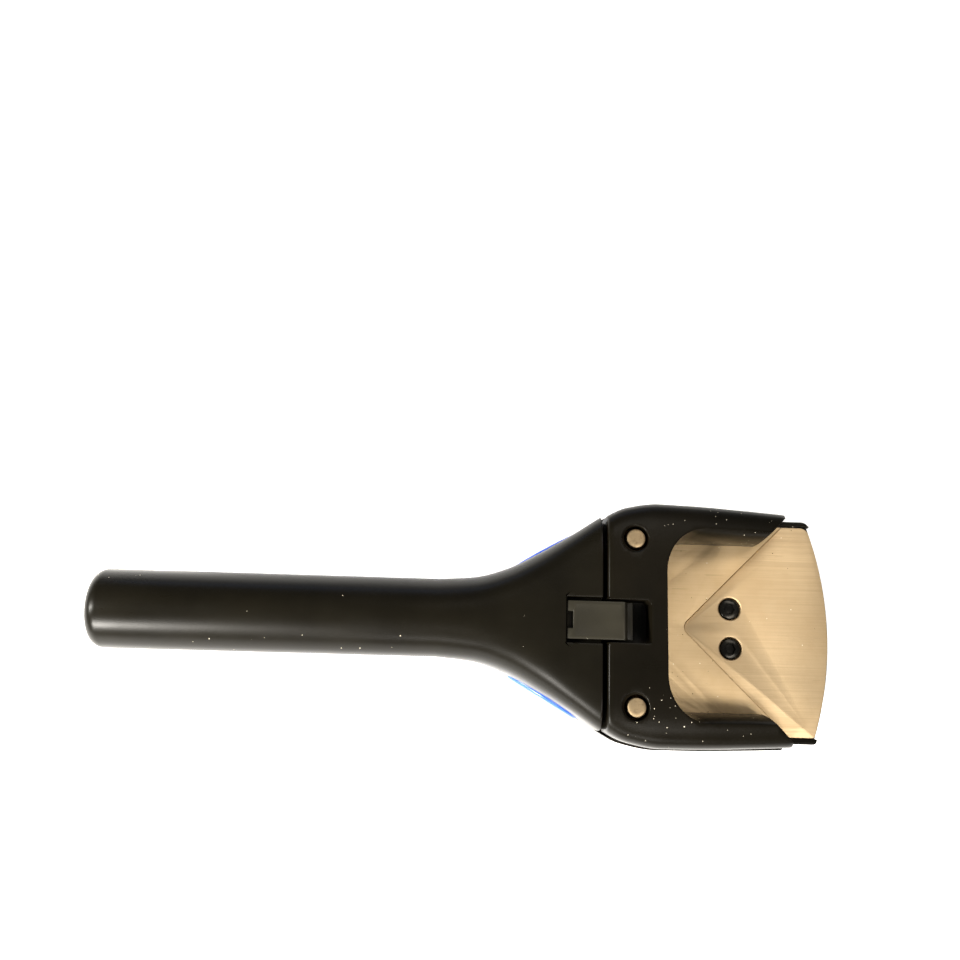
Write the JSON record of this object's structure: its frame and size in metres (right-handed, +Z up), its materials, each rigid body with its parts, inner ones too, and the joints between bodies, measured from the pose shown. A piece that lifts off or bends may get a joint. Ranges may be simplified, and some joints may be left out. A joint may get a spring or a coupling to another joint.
{
  "type": "corner rounder",
  "caption": "Plier-type corner rounder for plastic cards: round upper handle, flared head, sliding U-shaped upper jaw over a wedge blade, lower lever handle and a slide latch.",
  "frame": {"origin": "middle of the tool's length and width, on the table plane that the belly rests on", "axes": "+X from the handles towards the head's front, +Y across the tool, +Z up from the table"},
  "size_m": [0.2608, 0.0862, 0.0517],
  "materials": {
    "body_black": "satin warm black moulding with a very fine texture",
    "latch_black": "smoother satin black",
    "blade_steel": "brushed across the tool's length on the base plate, smoother on the moving blade",
    "pin_steel": "ground steel",
    "spring_steel": "drawn wire",
    "screw_black": "black oxide",
    "bronze": "plain bearing bronze",
    "blue_plastic": "semi-gloss royal blue"
  },
  "bodies": {
    "housing": {"main_body": "body_black", "bottom_cover": "body_black", "base_plate": "blade_steel", "pivot_pin": "pin_steel", "guide_pin_left": "pin_steel", "guide_pin_right": "pin_steel", "return_spring_left": "spring_steel", "return_spring_right": "spring_steel", "pivot_cap_left": "blue_plastic", "pivot_cap_right": "blue_plastic", "base_plate_screw_1": "screw_black", "base_plate_screw_2": "screw_black", "bottom_screw_1": "screw_black", "bottom_screw_2": "screw_black", "bottom_screw_3": "screw_black", "bottom_screw_4": "screw_black"},
    "lower_handle": {"lower_handle_shell": "body_black", "cutting_lever": "pin_steel", "lever_bush": "bronze", "nose_pin": "pin_steel", "lever_rivet_1": "pin_steel", "lever_rivet_2": "pin_steel", "grip_inlay_left": "blue_plastic", "grip_inlay_right": "blue_plastic"},
    "upper_jaw": {"jaw_cover": "body_black", "upper_blade": "blade_steel", "pull_yoke": "pin_steel", "guide_bushing_left": "bronze", "guide_bushing_right": "bronze", "blade_screw_1": "screw_black", "blade_screw_2": "screw_black", "blade_screw_3": "screw_black", "blade_screw_4": "screw_black", "yoke_screw_1": "screw_black", "yoke_screw_2": "screw_black"},
    "latch": {"latch_slider": "latch_black"}
  },
  "joints": [
    {"name": "handle_squeeze", "type": "hinge", "parent": "housing", "child": "lower_handle", "pos_m": [0.02712, 0, 0.02], "axis": [0, -1, 0], "range_deg": [0, 13]},
    {"name": "jaw_lift", "type": "slide", "parent": "housing", "child": "upper_jaw", "axis": [0, 0, 1], "range_m": [0, 0.0058], "deforming": ["return_spring_left", "return_spring_right"]},
    {"name": "latch_slide", "type": "slide", "parent": "housing", "child": "latch", "axis": [1, 0, 0], "range_m": [0, 0.0055]}
  ],
  "couplings": [
    {"joint": "jaw_lift", "follows": "handle_squeeze", "m_per_rad": 0.025}
  ]
}
